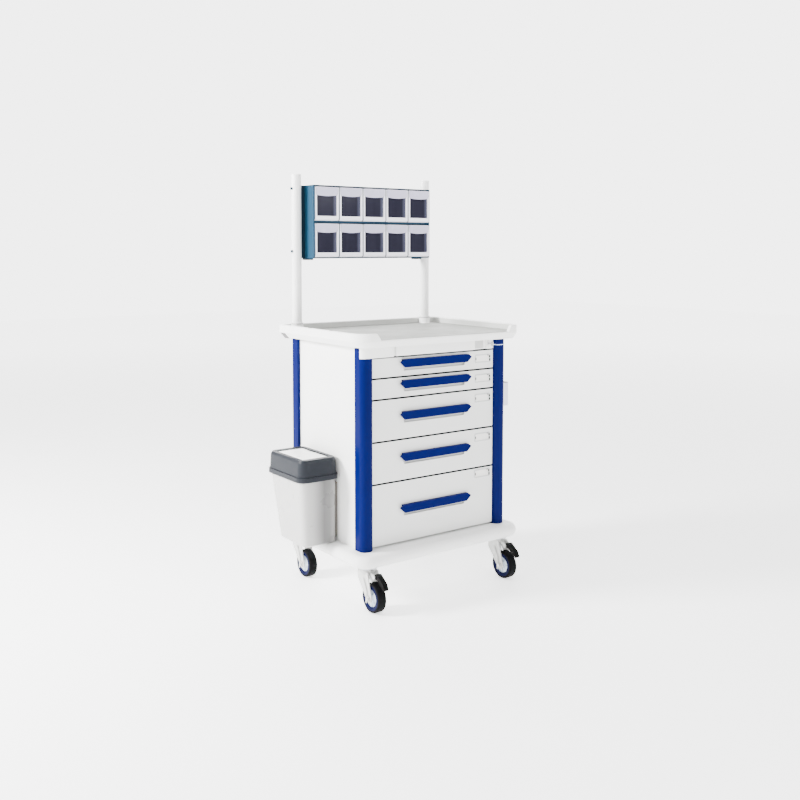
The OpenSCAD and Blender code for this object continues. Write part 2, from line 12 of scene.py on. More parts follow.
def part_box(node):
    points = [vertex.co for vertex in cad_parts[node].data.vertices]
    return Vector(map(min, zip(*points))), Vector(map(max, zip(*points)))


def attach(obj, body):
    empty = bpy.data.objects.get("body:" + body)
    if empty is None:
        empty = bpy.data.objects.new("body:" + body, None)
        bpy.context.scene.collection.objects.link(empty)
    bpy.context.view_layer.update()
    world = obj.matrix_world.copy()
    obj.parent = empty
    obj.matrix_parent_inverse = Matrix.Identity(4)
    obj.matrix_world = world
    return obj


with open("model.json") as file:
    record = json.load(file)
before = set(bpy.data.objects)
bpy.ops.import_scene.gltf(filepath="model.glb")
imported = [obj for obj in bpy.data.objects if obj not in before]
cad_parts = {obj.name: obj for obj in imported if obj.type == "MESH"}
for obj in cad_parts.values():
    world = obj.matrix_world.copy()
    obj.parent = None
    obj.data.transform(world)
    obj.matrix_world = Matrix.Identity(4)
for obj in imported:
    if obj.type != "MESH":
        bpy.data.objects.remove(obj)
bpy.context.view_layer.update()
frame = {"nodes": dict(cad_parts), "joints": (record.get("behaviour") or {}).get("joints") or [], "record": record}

MM = 0.001


# ---------------------------------------------------------------- camera and light

# The camera stands in front of the cart's left corner and looks slightly down
CAMERA_PLACE = Vector((-2.0063, -2.7900, 1.2045))
CAMERA_YAW = math.radians(35.87)
CAMERA_PITCH = math.radians(4.0)
CAMERA_LENS = 43.155
CAMERA_SENSOR = 36.0
CAMERA_SHIFT = (0.0034, -0.105)


def make_camera():
    data = bpy.data.cameras.new("camera")
    data.sensor_width = CAMERA_SENSOR
    data.lens = CAMERA_LENS
    data.shift_x, data.shift_y = CAMERA_SHIFT
    camera = bpy.data.objects.new("camera", data)
    camera.location = CAMERA_PLACE
    camera.rotation_euler = (math.radians(90) - CAMERA_PITCH, 0, -CAMERA_YAW)
    bpy.context.scene.collection.objects.link(camera)
    bpy.context.scene.camera = camera


def area_light(name, place, target, size, watts):
    data = bpy.data.lights.new(name, "AREA")
    data.shape = "RECTANGLE"
    data.size, data.size_y = size
    data.energy = watts
    light = bpy.data.objects.new(name, data)
    light.location = place
    aim = Vector(target) - Vector(place)
    light.rotation_euler = aim.to_track_quat("-Z", "Y").to_euler()
    bpy.context.scene.collection.objects.link(light)


def make_lights():
    """A key light from the left, softer ones in front and above, and a strip for the columns' gloss."""
    middle = (0.0, 0.0, 0.6)
    left_column = (-0.3, -0.2, 0.75)
    area_light("left_light", (-3.3, 1.3, 2.2), middle, (0.9, 0.9), 560)
    area_light("front_light", (1.2, -3.8, 2.4), middle, (2.6, 1.6), 115)
    area_light("strip_light", (-3.1, -0.45, 2.0), left_column, (0.14, 1.5), 34)
    area_light("top_light", (-0.6, -0.2, 3.8), middle, (1.8, 1.8), 75)


# The way from the cart to the brightly lit wall, and the room's light against the cosine of the angle to it
BACKDROP = (0.586, 0.810, 0.0)
ROOM_LIGHT = ((0.45, 0.2), (0.8, 1.0))
ROOM_STRENGTH = 4.9


def make_world():
    """A white room with a brightly lit wall behind the cart."""
    world = bpy.data.worlds.new("studio")
    world.use_nodes = True
    nodes, links = world.node_tree.nodes, world.node_tree.links
    facing = nodes.new("ShaderNodeVectorMath")
    facing.operation = "DOT_PRODUCT"
    links.new(nodes.new("ShaderNodeTexCoord").outputs["Generated"], facing.inputs[0])
    facing.inputs[1].default_value = BACKDROP
    ramp = nodes.new("ShaderNodeValToRGB")
    links.new(facing.outputs["Value"], ramp.inputs["Fac"])
    for element, (position, level) in zip(ramp.color_ramp.elements, ROOM_LIGHT):
        element.position = position
        element.color = (level, level, level, 1.0)
    background = nodes["Background"]
    links.new(ramp.outputs["Color"], background.inputs["Color"])
    background.inputs["Strength"].default_value = ROOM_STRENGTH
    bpy.context.scene.world = world


# ---------------------------------------------------------------- materials


class Shader:
    """A material with its nodes, made a few at a time."""

    def __init__(self, name, roughness, **constants):
        self.material = bpy.data.materials.new(name)
        self.material.use_nodes = True
        self.tree = self.material.node_tree
        self.surface = self.tree.nodes["Principled BSDF"]
        self.surface.inputs["Roughness"].default_value = roughness
        for socket, value in constants.items():
            self.surface.inputs[socket.replace("_", " ")].default_value = value
        self.place = self.tree.nodes.new("ShaderNodeTexCoord").outputs["Object"]

    def generated(self, axis):
        """How far a point lies along one axis of its object's box, from 0 to 1."""
        parts = self.tree.nodes.new("ShaderNodeSeparateXYZ")
        coordinates = self.tree.nodes.new("ShaderNodeTexCoord")
        self.tree.links.new(coordinates.outputs["Generated"], parts.inputs["Vector"])
        return parts.outputs[axis]

    def noise(self, scale, detail=2.0, roughness=0.5, stretch=None):
        node = self.tree.nodes.new("ShaderNodeTexNoise")
        node.inputs["Scale"].default_value = scale
        node.inputs["Detail"].default_value = detail
        node.inputs["Roughness"].default_value = roughness
        source = self.place
        if stretch:
            mapping = self.tree.nodes.new("ShaderNodeMapping")
            mapping.inputs["Scale"].default_value = stretch
            self.tree.links.new(self.place, mapping.inputs["Vector"])
            source = mapping.outputs["Vector"]
        self.tree.links.new(source, node.inputs["Vector"])
        return node.outputs["Fac"]

    def ramp(self, factor, stops):
        """A colour ramp, with a list of positions and colours."""
        node = self.tree.nodes.new("ShaderNodeValToRGB")
        ramp = node.color_ramp
        while len(ramp.elements) < len(stops):
            ramp.elements.new(0.5)
        for element, (position, colour) in zip(ramp.elements, stops):
            element.position = position
            element.color = (*colour, 1.0)
        self.tree.links.new(factor, node.inputs["Fac"])
        return node.outputs["Color"]

    def mix(self, factor, first, second, blend="MIX"):
        node = self.tree.nodes.new("ShaderNodeMix")
        node.data_type = "RGBA"
        node.blend_type = blend
        for socket, value in (("Factor", factor), ("A", first), ("B", second)):
            target = [i for i in node.inputs if i.name == socket and i.enabled][0]
            if isinstance(value, (int, float, tuple)):
                target.default_value = value
            else:
                self.tree.links.new(value, target)
        return [o for o in node.outputs if o.enabled][0]

    def bump(self, height, depth, previous=None):
        node = self.tree.nodes.new("ShaderNodeBump")
        node.inputs["Distance"].default_value = depth
        self.tree.links.new(height, node.inputs["Height"])
        if previous:
            self.tree.links.new(previous, node.inputs["Normal"])
        return node.outputs["Normal"]

    def spread(self, value, low, high, start=0.3, end=0.7):
        """Stretches a value from between start and end to between low and high."""
        node = self.tree.nodes.new("ShaderNodeMapRange")
        for socket, level in (("From Min", start), ("From Max", end), ("To Min", low), ("To Max", high)):
            node.inputs[socket].default_value = level
        self.tree.links.new(value, node.inputs["Value"])
        return node.outputs["Result"]

    def feed(self, socket, value):
        self.tree.links.new(value, self.surface.inputs[socket])


def shade(colour, factor):
    return tuple(min(1.0, channel * factor) for channel in colour)


def moulded(name, colour, roughness, grain=1400.0, depth=0.00006, mottle=0.03, **constants):
    """Moulded plastic or paint: a fine grain, faint cloudy colour, and rubbed, smoother patches."""
    shader = Shader(name, roughness, **constants)
    clouds = shader.noise(7.0, 4.0, 0.6)
    stops = [(0.3, shade(colour, 1 - mottle)), (0.7, shade(colour, 1 + mottle))]
    shader.feed("Base Color", shader.ramp(clouds, stops))
    shader.feed("Roughness", shader.spread(shader.noise(16.0, 3.0), roughness * 0.82, roughness * 1.18))
    fine = shader.bump(shader.noise(grain, 2.0), depth)
    shader.feed("Normal", shader.bump(shader.noise(60.0, 1.0), depth * 2, fine))
    return shader.material


def brushed(name, colour, roughness, stretch=(60, 60, 900)):
    """Metal with fine scratches along one direction."""
    shader = Shader(name, roughness, Metallic=1.0)
    scratches = shader.noise(6.0, 6.0, 0.7, stretch)
    stops = [(0.2, shade(colour, 0.86)), (0.8, shade(colour, 1.06))]
    shader.feed("Base Color", shader.ramp(scratches, stops))
    shader.feed("Roughness", shader.spread(scratches, roughness * 0.75, roughness * 1.3))
    shader.feed("Normal", shader.bump(scratches, 0.00004))
    return shader.material


def rubber(name, colour):
    """Dull black rubber with dusty patches."""
    shader = Shader(name, 0.55, Specular_IOR_Level=0.03)
    dust = shader.noise(45.0, 5.0, 0.65)
    shader.feed("Base Color", shader.ramp(dust, [(0.35, colour), (0.75, shade(colour, 1.9))]))
    shader.feed("Roughness", shader.spread(dust, 0.42, 0.68))
    shader.feed("Normal", shader.bump(shader.noise(900.0, 3.0), 0.0001))
    return shader.material


def smoked_window_painted_shade(name, dark, light):
    """A tinted window over the bin's inside, with painted shade for the dark inside, darkest at its left edge, and
    painted light at its right edge, where the lit side wall shows through.
    """
    shader = Shader(name, 0.15, Specular_IOR_Level=0.15)
    stops = [(0.0, shade(dark, 0.7)), (0.12, dark), (0.8, dark), (0.93, light)]
    across = shader.ramp(shader.generated("X"), stops)
    stops = [(0.35, (0.8, 0.8, 0.85)), (0.68, (1.0, 1.0, 1.0))]
    streaks = shader.ramp(shader.noise(9.0, 2.0, 0.4, (5.0, 1.0, 0.6)), stops)
    shader.feed("Base Color", shader.mix(1.0, across, streaks, "MULTIPLY"))
    shader.feed("Normal", shader.bump(shader.noise(30.0, 1.0), 0.0002))
    return shader.material


def painted_shade_grey(name, colour, roughness):
    """Glossy grey plastic with painted shade and painted light: its colour dips and rises again across the bin,
    standing in for the light falling off across its front and its broad reflections.
    """
    shader = Shader(name, roughness)
    painted_shade_levels = ((0.08, 1.0), (0.3, 0.8), (0.62, 0.26), (0.78, 0.34), (0.97, 0.8))
    across = shader.ramp(shader.generated("X"), [(at, shade(colour, level)) for at, level in painted_shade_levels])
    stops = [(0.3, (0.97, 0.97, 0.97)), (0.7, (1.0, 1.0, 1.0))]
    clouds = shader.ramp(shader.noise(7.0, 4.0, 0.6), stops)
    shader.feed("Base Color", shader.mix(1.0, across, clouds, "MULTIPLY"))
    shader.feed("Roughness", shader.spread(shader.noise(16.0, 3.0), roughness * 0.85, roughness * 1.15))
    shader.feed("Normal", shader.bump(shader.noise(1000.0, 2.0), 0.00005))
    return shader.material


WHITE = (0.86, 0.86, 0.845)
DULL = {"Specular_IOR_Level": 0.12}

# One material for each material slot of the record
MATERIALS = {
    "column_blue": moulded("blue_column", (0.0003, 0.0028, 0.06), 0.4, 900.0, 0.00003, 0.05,
                           Specular_IOR_Level=0.02, Coat_Weight=0.045, Coat_Roughness=0.06),
    "handle_blue": moulded("blue_handle", (0.0003, 0.0028, 0.063), 0.4, 1300.0, 0.00004, 0.05,
                           Specular_IOR_Level=0.02, Coat_Weight=0.02, Coat_Roughness=0.2),
    "drawer_white": moulded("drawer_front", (0.74, 0.745, 0.73), 0.38, 1500.0, 0.00005, 0.012),
    "tray_steel": moulded("drawer_tray", (0.62, 0.63, 0.63), 0.42, 1200.0, 0.00007),
    "bin_clear": moulded("bin_plastic", (0.92, 0.91, 1.0), 0.25, 600.0, 0.00003, 0.02),
    "tyre_black": rubber("tyre", (0.003, 0.003, 0.0035)),
    "hub_white": moulded("hub", (0.70, 0.78, 0.86), 0.3, 900.0, 0.00005),
    "fork_grey": moulded("fork", (0.50, 0.50, 0.485), 0.34, 700.0, 0.00006),
    "pedal_black": rubber("pedal", (0.003, 0.003, 0.003)),
    "platform_white": moulded("platform", (0.84, 0.84, 0.83), 0.42, 1100.0, 0.00008),
    "zinc_steel": brushed("zinc", (0.55, 0.56, 0.57), 0.35),
    "panel_white": moulded("panel", WHITE, 0.42, 800.0, 0.00008, 0.012),
    "rail_white": moulded("top_rail", WHITE, 0.38),
    "worktop_white": moulded("worktop", WHITE, 0.36, 1100.0, 0.00007),
    "pole_white": moulded("pole", (0.86, 0.86, 0.85), 0.3, 900.0, 0.00004, 0.012,
                          Coat_Weight=0.2, Coat_Roughness=0.15),
    "bracket_grey": moulded("bracket", (0.006, 0.018, 0.03), 0.4, **DULL),
    "housing_teal": moulded("housing", (0.0085, 0.036, 0.066), 0.34, 900.0, 0.00005, 0.05, **DULL),
    # Brown grey: the bracket's own dark colour, and painted shadow of the can on the panel beside it.
    "bracket_dark": moulded("waste_bracket", (0.13, 0.12, 0.108), 0.45, **DULL),
    # The waste can: light grey, with painted shade across the middle of its front and painted light towards its
    # edges.
    "can_grey": painted_shade_grey("waste_can", (0.46, 0.455, 0.445), 0.3),
    "lid_grey": moulded("waste_lid", (0.0135, 0.0155, 0.02), 0.38, 1100.0, 0.00002, 0.03, **DULL),
    "flap_white": moulded("waste_flap", (0.86, 0.86, 0.85), 0.3),
    "holder_clear": moulded("holder", (0.76, 0.73, 0.84), 0.2, 600.0, 0.00003, 0.02),
    "lock_steel": brushed("lock", (0.75, 0.75, 0.76), 0.18),
}

# Materials of the small pieces that have no slot of their own
EXTRA = {
    "mat": moulded("worktop_mat", (0.26, 0.265, 0.245), 0.5, 1600.0, 0.0001, 0.02),
    # The mat's grey made lighter for the tray's walls: painted light, as the walls face a dimmer part of the room.
    "mat_wall_painted_light": moulded("tray_wall", (0.50, 0.505, 0.485), 0.5, 1600.0, 0.0001, 0.02),
    "pedal_grip": moulded("pedal_grip", (0.05, 0.05, 0.05), 0.35, 500.0, 0.0002, 0.6, **DULL),
    # Grey: painted shade on the rail beside the lock.
    "plate": moulded("rail_plate", (0.50, 0.50, 0.49), 0.4),
    # The bins' windows: near black as painted shade of their insides, lighter at one edge as painted light on the
    # side wall behind.
    "window": smoked_window_painted_shade("bin_window", (0.014, 0.0135, 0.025), (0.06, 0.062, 0.095)),
    "navy": moulded("wheel_ring", (0.001, 0.0022, 0.026), 0.4, Specular_IOR_Level=0.04),
    "card": moulded("label_card", (0.82, 0.81, 0.78), 0.6, 2000.0, 0.00003),
    # The card holder's frame is clear plastic; its mid grey is painted shade round the card's outline.
    "clear": moulded("label_cover_painted_shade", (0.56, 0.57, 0.57), 0.15),
    "dark": moulded("dark_slot", (0.008, 0.008, 0.009), 0.5, **DULL),
    # Near black strips: painted shade in the gaps above the drawer fronts, and painted shadow under the apron.
    "shade_strip": moulded("drawer_gap_shade", (0.006, 0.006, 0.0065), 0.6, 1500.0, 0.00003, 0.1,
                    Specular_IOR_Level=0.05),
    "bin_edge": moulded("bin_edge", (0.03, 0.055, 0.09), 0.5, **DULL),
    "liner": moulded("drawer_liner", (0.12, 0.14, 0.17), 0.7, 1500.0, 0.0002),
    "bracket": moulded("grey_trim", (0.09, 0.085, 0.085), 0.5),
    "screw": brushed("screw", (0.6, 0.6, 0.61), 0.3),
    # Pale blue: a painted highlight round the top of the right column.
    "highlight_blue": moulded("cap_highlight", (0.55, 0.65, 0.85), 0.3),
    # The hood is the bins' plastic made darker: painted shade for the top band of each bin front, which leans away
    # from the light.
    "hood": moulded("bin_hood_painted_shade", (0.50, 0.48, 0.62), 0.25, 600.0, 0.00003, 0.02),
}


# Width in millimetres of the softened edges, by the start of a node's name
SOFT_EDGES = {"worktop": 2.2, "top_rail": 1.6, "base_platform": 0.6, "waste_can": 0.6, "waste_lid": 0.8,
              "waste_flap": 1.2, "bin_housings": 0.8, "side_panels": 0.7, "side_holder": 0.7,
              "lock_barrel": 0.4, "drawer_handle": 1.4, "drawer_tray": 0.5, "tilt_bin": 0.7,
              "caster_fork": 0.8, "brake_pedal": 1.2, "wheel_hub": 0.6, "front_column": 0.6,
              "rear_column": 0.6, "pole_": 0.4}
USUAL_EDGE = 0.5


def soften(thing, width, segments, angle):
    bevel = thing.modifiers.new("soft_edges", "BEVEL")
    bevel.width = width
    bevel.segments = segments
    bevel.limit_method = "ANGLE"
    bevel.angle_limit = math.radians(angle)
    bevel.harden_normals = True


def finish_frame():
    """Gives every carried-over node its material, and softened edges except on the drawer fronts' pieces."""
    slots = {s["node"]: s["material_slot"] for s in frame["record"]["subparts"]}
    for name, node in frame["nodes"].items():
        for place in node.material_slots:
            place.material = MATERIALS[slots[name]]
        if not name.startswith("drawer_front"):
            width = next((w for start, w in SOFT_EDGES.items() if name.startswith(start)), USUAL_EDGE)
            soften(node, width * MM, 3, 40)


# ---------------------------------------------------------------- mesh tools


def add_piece(name, bm, body, material, bevel=0.0, segments=2):
    """Makes an object of a bmesh, with soft edges, which moves with a body of the frame."""
    bmesh.ops.recalc_face_normals(bm, faces=bm.faces)
    mesh = bpy.data.meshes.new(name)
    bm.to_mesh(mesh)
    bm.free()
    mesh.materials.append(material)
    mesh.shade_smooth()
    mesh.set_sharp_from_angle(angle=math.radians(35))
    piece = bpy.data.objects.new(name, mesh)
    bpy.context.scene.collection.objects.link(piece)
    if bevel:
        soften(piece, bevel, segments, 35)
    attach(piece, body)


def prism(bm, outline, origin, right, up, depth):
    """A flat outline, drawn along right and up from origin, pushed out along depth."""
    origin, right, up, depth = (Vector(v) for v in (origin, right, up, depth))
    near = [bm.verts.new(origin + right * a + up * b) for a, b in outline]
    far = [bm.verts.new(v.co + depth) for v in near]
    bm.faces.new(near)
    bm.faces.new(list(reversed(far)))
    for i in range(len(near)):
        j = (i + 1) % len(near)
        bm.faces.new((near[i], far[i], far[j], near[j]))


def frame_ring(bm, outer, inner, origin, right, up, depth, slope=0.0):
    """A flat frame between two outlines of as many points; slope widens the front of its opening."""
    origin, right, up, depth = (Vector(v) for v in (origin, right, up, depth))
    middle = Vector((sum(a for a, _ in inner), sum(b for _, b in inner))) / len(inner)

    def loop(points, push, grow=0.0):
        made = []
        for point in points:
            a, b = Vector(point) + (Vector(point) - middle).normalized() * grow
            made.append(bm.verts.new(origin + right * a + up * b + depth * push))
        return made

    loops = [loop(outer, 0), loop(outer, 1), loop(inner, 1, slope), loop(inner, 0)]
    for first, second in zip(loops, loops[1:] + loops[:1]):
        for i in range(len(first)):
            j = (i + 1) % len(first)
            bm.faces.new((first[i], first[j], second[j], second[i]))


def round_outline(width, height, radius, steps=5, centre=(0.0, 0.0)):
    """A rectangle with round corners."""
    points = []
    for turn, (sx, sy) in enumerate(((1, 1), (-1, 1), (-1, -1), (1, -1))):
        for step in range(steps + 1):
            angle = math.radians(90 * (turn + step / steps))
            points.append((centre[0] + sx * (width / 2 - radius) + radius * math.cos(angle),
                           centre[1] + sy * (height / 2 - radius) + radius * math.sin(angle)))
    return points


def lathe(bm, profile, centre, axis, steps=48):
    """Turns a closed profile of (radius, distance along axis) round an axis through centre."""
    turn = Vector((0, 0, 1)).rotation_difference(Vector(axis)).to_matrix().to_4x4()
    place = Matrix.Translation(Vector(centre)) @ turn
    rings = []
    for step in range(steps):
        angle = 2 * math.pi * step / steps
        rings.append([bm.verts.new(place @ Vector((r * math.cos(angle), r * math.sin(angle), h)))
                      for r, h in profile])
    for first, second in zip(rings, rings[1:] + rings[:1]):
        for i in range(len(profile)):
            j = (i + 1) % len(profile)
            if profile[i][0] > 1e-7 or profile[j][0] > 1e-7:
                bm.faces.new((first[i], first[j], second[j], second[i]))
    bmesh.ops.remove_doubles(bm, verts=bm.verts, dist=1e-6)


X, Y, Z = Vector((1, 0, 0)), Vector((0, 1, 0)), Vector((0, 0, 1))


def screw_head(bm, place, axis, radius=4.0 * MM):
    """A domed head with a round socket, standing on place."""
    height = radius * 0.55
    socket = radius * 0.45
    dome = [(radius * math.cos(math.radians(a)), height * math.sin(math.radians(a))) for a in (0, 25, 50)]
    profile = [(0, 0), *dome, (socket, height * 0.92), (socket, height * 0.3), (0, height * 0.3)]
    lathe(bm, profile, place, axis, 24)


# ---------------------------------------------------------------- drawers

LABEL_WIDTH, LABEL_HEIGHT = 72 * MM, 30 * MM
LABEL_TO_EDGE = 49 * MM
LABEL_DROP, LAST_LABEL_DROP = 18 * MM, 8 * MM

# Dark marks at the ends of a card holder, painted shade in its notches: across, up, width and height in
# millimetres
LABEL_NOTCH_SHADES = ((-33, 0, 3.5, 9), (32, 6, 5, 8), (33, -6, 5, 9), (24, 11, 6, 2.4))


def label_holder(number, body, low, high):
    """A clear card holder on the right of a drawer front, with its card and dark marks at its ends, which are
    painted shade in its notches.
    """
    drop = LAST_LABEL_DROP if number == 5 else LABEL_DROP
    middle = Vector((high.x - LABEL_TO_EDGE, low.y, high.z - drop - LABEL_HEIGHT / 2))
    bm = bmesh.new()
    outer = round_outline(LABEL_WIDTH, LABEL_HEIGHT, 3 * MM)
    inner = round_outline(LABEL_WIDTH - 7 * MM, LABEL_HEIGHT - 7 * MM, 1.5 * MM)
    frame_ring(bm, outer, inner, middle, X, Z, -1.8 * MM * Y, 0.8 * MM)
    add_piece(f"label_frame_{number}", bm, body, EXTRA["clear"], 0.4 * MM)
    bm = bmesh.new()
    card = round_outline(LABEL_WIDTH - 9 * MM, LABEL_HEIGHT - 8 * MM, 1 * MM)
    prism(bm, card, middle, X, Z, -0.5 * MM * Y)
    add_piece(f"label_card_{number}", bm, body, EXTRA["card"], 0.1 * MM)
    bm = bmesh.new()
    for across, up, wide, tall in LABEL_NOTCH_SHADES:
        outline = round_outline(wide * MM, tall * MM, 0.8 * MM, 3, (across * MM, up * MM))
        prism(bm, outline, middle - 1.5 * MM * Y, X, Z, -1.1 * MM * Y)
    add_piece(f"label_notch_shade_{number}", bm, body, EXTRA["dark"])


GAP_SHADE_PROUD, GAP_SHADE_LIP, GAP_SHADE_REACH, GAP_SHADE_FOOT = 0.5 * MM, 0.3 * MM, 14 * MM, 0.1 * MM


def drawer_gap_shade(number, body, low, high):
    """A dark strip along the top edge of a drawer front, which laps over it and fills the gap above it: painted
    shade for the shadowed gap between the drawers.
    """
    tall, lap = (1.1 * MM, 4.4 * MM) if number == 1 else (2.6 * MM, 3.0 * MM)
    bm = bmesh.new()
    outline = [(-GAP_SHADE_PROUD, -lap), (GAP_SHADE_LIP, -lap), (GAP_SHADE_LIP, GAP_SHADE_FOOT), (GAP_SHADE_REACH, GAP_SHADE_FOOT),
               (GAP_SHADE_REACH, tall), (-GAP_SHADE_PROUD, tall)]
    prism(bm, outline, (low.x + 1 * MM, low.y, high.z), Y, Z, (high.x - low.x - 2 * MM) * X)
    add_piece(f"drawer_gap_shade_{number}", bm, body, EXTRA["shade_strip"])


LINER_T = 1.6 * MM
LINER_TO_SIDE, LINER_TO_END, LINER_UP = 16 * MM, 4 * MM, 2.2 * MM
DIVIDER_SHARE, DIVIDER_SHOULDER, CROSS_SHARE = 0.62, 0.85, 0.8


def drawer_inside(number, body, low, high):
    """A liner and crossed dividers in a drawer's tray."""
    left, right = low.x + LINER_TO_SIDE, high.x - LINER_TO_SIDE
    front, back = low.y + LINER_TO_END, high.y - LINER_TO_END
    floor = low.z + LINER_UP
    middle = (front + back) / 2
    bm = bmesh.new()
    liner = round_outline(right - left, back - front, 4 * MM)
    prism(bm, liner, ((left + right) / 2, middle, floor), X, Y, LINER_T * Z)
    add_piece(f"drawer_liner_{number}", bm, body, EXTRA["liner"], 0.5 * MM)
    foot = floor + 1.7 * MM
    tall = (high.z - low.z) * DIVIDER_SHARE
    shoulder = tall * DIVIDER_SHOULDER
    long = back - front
    bm = bmesh.new()
    columns = 3 if number < 4 else 2
    for step in range(1, columns):
        x = left + (right - left) * step / columns
        profile = [(0, 0), (long, 0), (long, shoulder), (long / 2, tall), (0, shoulder)]
        prism(bm, profile, (x, front, foot), Y, Z, LINER_T * X)
    wide = (right - left) / columns - 4 * MM
    for step in range(columns):
        x = left + (right - left) * step / columns + 2.5 * MM
        profile = [(0, 0), (wide, 0), (wide, tall * CROSS_SHARE), (0, tall * CROSS_SHARE)]
        prism(bm, profile, (x, middle, foot), X, Z, LINER_T * Y)
    add_piece(f"drawer_dividers_{number}", bm, body, MATERIALS["tray_steel"], 0.3 * MM)


def make_drawers():
    for number in range(1, 6):
        body = f"drawer_{number}"
        label_holder(number, body, *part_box(f"drawer_front_{number}"))
        drawer_gap_shade(number, body, *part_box(f"drawer_front_{number}"))
        drawer_inside(number, body, *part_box(f"drawer_tray_{number}"))


# ---------------------------------------------------------------- tilt bins

BIN_WALL_BACK = 7 * MM
BIN_FRAME_DEPTH = 5 * MM
BIN_TOE = 4.6 * MM
BIN_EDGE_T = 1.2 * MM
SIDE_BAR, HOOD_BAR = 7.8 * MM, 3.2 * MM
FRAME_FOOT, FRAME_SILL, FRAME_HEAD, FRAME_SHOULDER = 0.6 * MM, 16.5 * MM, 90 * MM, 97 * MM
HOOD_WAVES, HOOD_DIP, HOOD_SLOPE = 12, 3.2 * MM, 2.6 * MM


def raise_toe(bm, wall, bottom):
    """Slopes the foot of a bin's front, which clears the housing's floor as the bin tilts."""
    for vert in bm.verts:
        if vert.co.y < wall - BIN_FRAME_DEPTH / 2 and vert.co.z < bottom + 2 * MM:
            vert.co.z = bottom + BIN_TOE


def bin_front(name, body, low, high):
    """The frame, hood and dark window on the front of one tilt bin; the hood's darker grey is painted shade on the
    band that leans away from the light, and the window's darkness is painted shade of the bin's inside.
    """
    width = high.x - low.x
    wall = low.y + BIN_WALL_BACK
    origin = Vector(((low.x + high.x) / 2, wall + 0.05 * MM, low.z))
    half = width / 2 - 1.4 * MM
    top = high.z - low.z - 0.4 * MM
    opening, hood_half = half - SIDE_BAR, half - HOOD_BAR
    right_edge = [(hood_half, top), (hood_half, FRAME_SHOULDER), (opening, FRAME_HEAD),
                  (opening, FRAME_SILL + 3 * MM), (opening - 0.9 * MM, FRAME_SILL + 0.9 * MM),
                  (opening - 3 * MM, FRAME_SILL)]
    inner = right_edge + [(-a, b) for a, b in reversed(right_edge)]
    outline = [(half, FRAME_FOOT), (half, top)] + inner + [(-half, top), (-half, FRAME_FOOT)]
    bm = bmesh.new()
    prism(bm, outline, origin, X, Z, -BIN_FRAME_DEPTH * Y)
    raise_toe(bm, wall, low.z)
    add_piece(f"bin_frame_{name}", bm, body, MATERIALS["bin_clear"], 0.7 * MM, 2)

    lower = []
    reach = opening - 1.2 * MM
    for step in range(HOOD_WAVES + 1):
        along = step / HOOD_WAVES
        dip = HOOD_DIP * math.sin(math.pi * along)
        lower.append((-reach + 2 * reach * along, FRAME_HEAD + 1.5 * MM - dip))
    edge, corner = hood_half - 1 * MM, FRAME_SHOULDER + 1 * MM
    hood = lower + [(edge, corner), (edge, top), (-edge, top), (-edge, corner)]
    bm = bmesh.new()
    prism(bm, hood, origin, X, Z, -(BIN_WALL_BACK + 0.3 * MM) * Y)
    for vert in bm.verts:
        if vert.co.y < wall - BIN_FRAME_DEPTH:
            vert.co.y += HOOD_SLOPE * (high.z - vert.co.z) / (high.z - low.z - FRAME_HEAD)
    add_piece(f"bin_hood_painted_shade_{name}", bm, body, EXTRA["hood"], 0.8 * MM, 3)

    bm = bmesh.new()
    edge, sill, head = opening + 1 * MM, FRAME_SILL - 1 * MM, FRAME_HEAD + 4 * MM
    glass = [(-edge, sill), (edge, sill), (edge, head), (-edge, head)]
    prism(bm, glass, origin, X, Z, -0.8 * MM * Y)
    add_piece(f"bin_window_{name}", bm, body, EXTRA["window"])


def bin_edges(name, body, low, high):
    """Dark edges down both sides of a bin's front."""
    bm = bmesh.new()
    wall = low.y + BIN_WALL_BACK
    depth = BIN_FRAME_DEPTH + 0.3 * MM
    for side in (-1, 1):
        x = (low.x if side < 0 else high.x) - side * 0.1 * MM
        inward = -side * BIN_EDGE_T
        strip = [(0, 0), (inward, 0), (inward, 1), (0, 1)]
        prism(bm, strip, (x, wall, low.z), X, (high.z - low.z) * Z, -depth * Y)
    raise_toe(bm, wall, low.z)
    add_piece(f"bin_edges_{name}", bm, body, EXTRA["bin_edge"])


def make_bins():
    for row in "ab":
        for number in range(1, 6):
            name = f"{row}{number}"
            bin_front(name, f"bin_{name}", *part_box(f"tilt_bin_{name}"))
            bin_edges(name, f"bin_{name}", *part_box(f"tilt_bin_{name}"))


# ---------------------------------------------------------------- waste bin


FLAP_RISE, FLAP_SINK, FLAP_SHORTER = 3.4 * MM, 2.8 * MM, 14 * MM
PILLOW_FOOT = 0.2 * MM


def pillow(bm, width, depth, rise, centre, columns=14, rows=20):
    """A thin shell whose top bulges up in the middle and whose edges turn down."""
    top, bottom = [], []
    for j in range(rows + 1):
        for i in range(columns + 1):
            u, v = i / columns * 2 - 1, j / rows * 2 - 1
            edge = (1 - abs(u) ** 6) * (1 - abs(v) ** 8)
            dip = -0.35 * max(0.0, u - 0.35) * (1 - abs(v) ** 4)
            height = rise * (edge * (0.75 + 0.25 * (1 - u * u)) + dip)
            x, y = centre.x + u * width / 2, centre.y + v * depth / 2
            top.append(bm.verts.new((x, y, centre.z + height)))
            bottom.append(bm.verts.new((x, y, centre.z - PILLOW_FOOT)))
    wide = columns + 1
    for j in range(rows):
        for i in range(columns):
            a = j * wide + i
            corners = (a, a + 1, a + wide + 1, a + wide)
            bm.faces.new([top[k] for k in corners])
            bm.faces.new([bottom[k] for k in reversed(corners)])
    rim = list(range(wide)) + [j * wide + columns for j in range(1, rows + 1)]
    rim += [rows * wide + i for i in range(columns - 1, -1, -1)]
    rim += [j * wide for j in range(rows - 1, 0, -1)]
    for first, second in zip(rim, rim[1:] + rim[:1]):
        bm.faces.new((top[first], bottom[first], bottom[second], top[second]))


